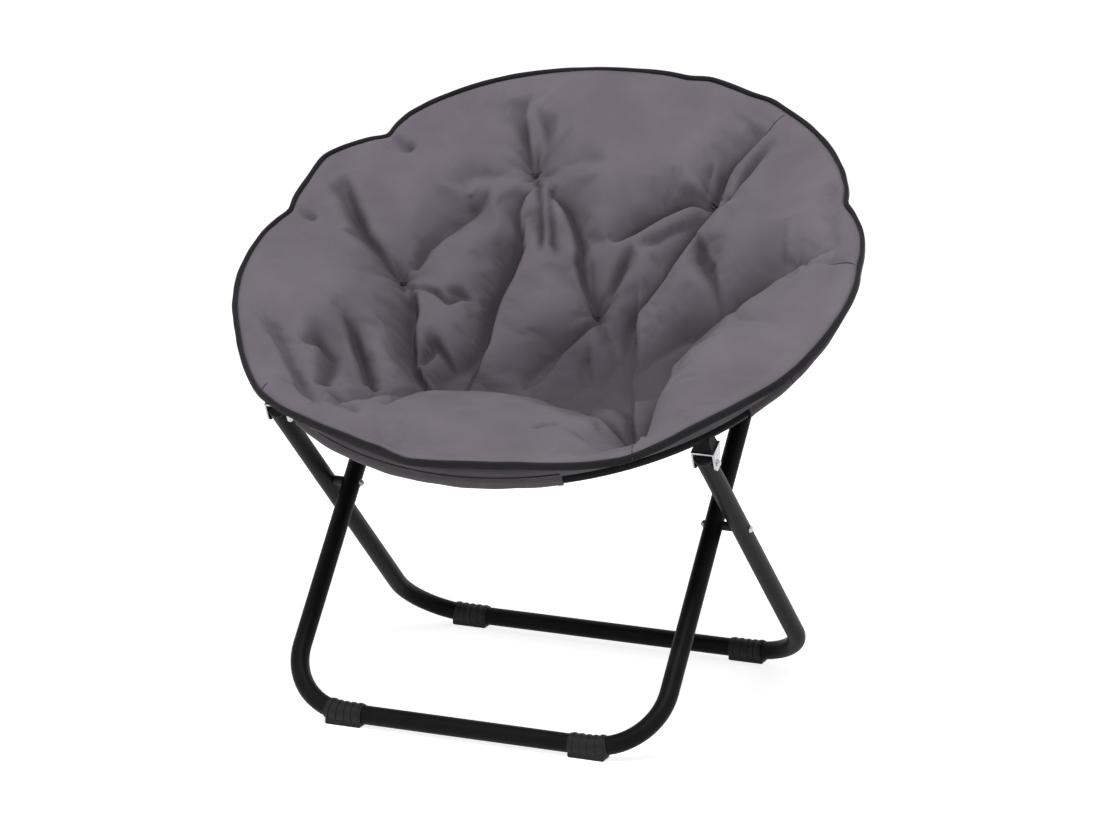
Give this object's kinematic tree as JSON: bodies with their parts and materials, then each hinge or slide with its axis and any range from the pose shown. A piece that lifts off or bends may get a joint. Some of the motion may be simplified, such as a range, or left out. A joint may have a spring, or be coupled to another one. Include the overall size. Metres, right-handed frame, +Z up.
{
  "type": "folding saucer chair",
  "caption": "Round tufted bowl seat on a tilted folding hoop, carried by two crossing bent tube leg frames that fold flat with it.",
  "frame": {"origin": "point on the floor under the middle of the seat's rim", "axes": "+Z up, the sitter faces -Y, +X towards the sitter's left"},
  "size_m": [0.835, 0.7272, 0.8029],
  "materials": {
    "leg_tube": "satin black powder coat",
    "ring_tube": "satin black powder coat",
    "zinc": "zinc plated",
    "pins": "plain steel",
    "plastic": "moulded black",
    "seat_cloth": "brushed warm grey cloth",
    "sling_cloth": "woven polyester",
    "binding_cloth": "ribbed tape",
    "sleeve_cloth": "woven polyester"
  },
  "bodies": {
    "rear_ring": {"ring_rear_tube": "ring_tube", "ring_bracket_rear_left": "zinc", "ring_bracket_rear_right": "zinc", "bracket_rivets_rear": "zinc", "ring_hinge_pins": "pins", "seat_pad_rear": "seat_cloth", "seat_sling_rear": "sling_cloth", "seat_binding_rear": "binding_cloth", "sleeve_rear_left": "sleeve_cloth", "sleeve_rear_right": "sleeve_cloth", "sleeve_rear_middle": "sleeve_cloth"},
    "front_ring": {"ring_front_tube": "ring_tube", "ring_bracket_front_left": "zinc", "ring_bracket_front_right": "zinc", "bracket_rivets_front": "zinc", "seat_pad_front": "seat_cloth", "seat_sling_front": "sling_cloth", "seat_binding_front": "binding_cloth", "sleeve_front": "sleeve_cloth", "sleeve_front_left": "sleeve_cloth", "sleeve_front_right": "sleeve_cloth"},
    "front_leg": {"front_leg_frame": "leg_tube", "arm_plug_rear_left": "plastic", "arm_plug_rear_right": "plastic", "foot_front_left": "plastic", "foot_front_right": "plastic", "cross_bolts": "pins", "cross_spacers": "plastic"},
    "rear_leg": {"rear_leg_frame": "leg_tube", "arm_plug_front_left": "plastic", "arm_plug_front_right": "plastic", "foot_rear_left": "plastic", "foot_rear_right": "plastic", "cross_rivets": "zinc"}
  },
  "joints": [
    {"name": "ring_fold", "type": "hinge", "parent": "rear_ring", "child": "front_ring", "pos_m": [0, -0.12173, 0.50258], "axis": [-1, 0, 0], "range_deg": [0, 160], "deforming": ["seat_pad_front", "seat_pad_rear", "seat_sling_front", "seat_sling_rear", "seat_binding_front", "seat_binding_rear"]},
    {"name": "front_leg_fold", "type": "hinge", "parent": "rear_ring", "child": "front_leg", "pos_m": [0, 0.29776, 0.68226], "axis": [-1, 0, 0], "range_deg": [0, 25.68]},
    {"name": "rear_leg_fold", "type": "hinge", "parent": "front_ring", "child": "rear_leg", "pos_m": [0, -0.19694, 0.39202], "axis": [1, 0, 0], "range_deg": [0, 78.62]}
  ],
  "couplings": [
    {"joint": "front_leg_fold", "follows": "ring_fold", "ratio": 0.16046},
    {"joint": "rear_leg_fold", "follows": "ring_fold", "ratio": 0.49131}
  ]
}
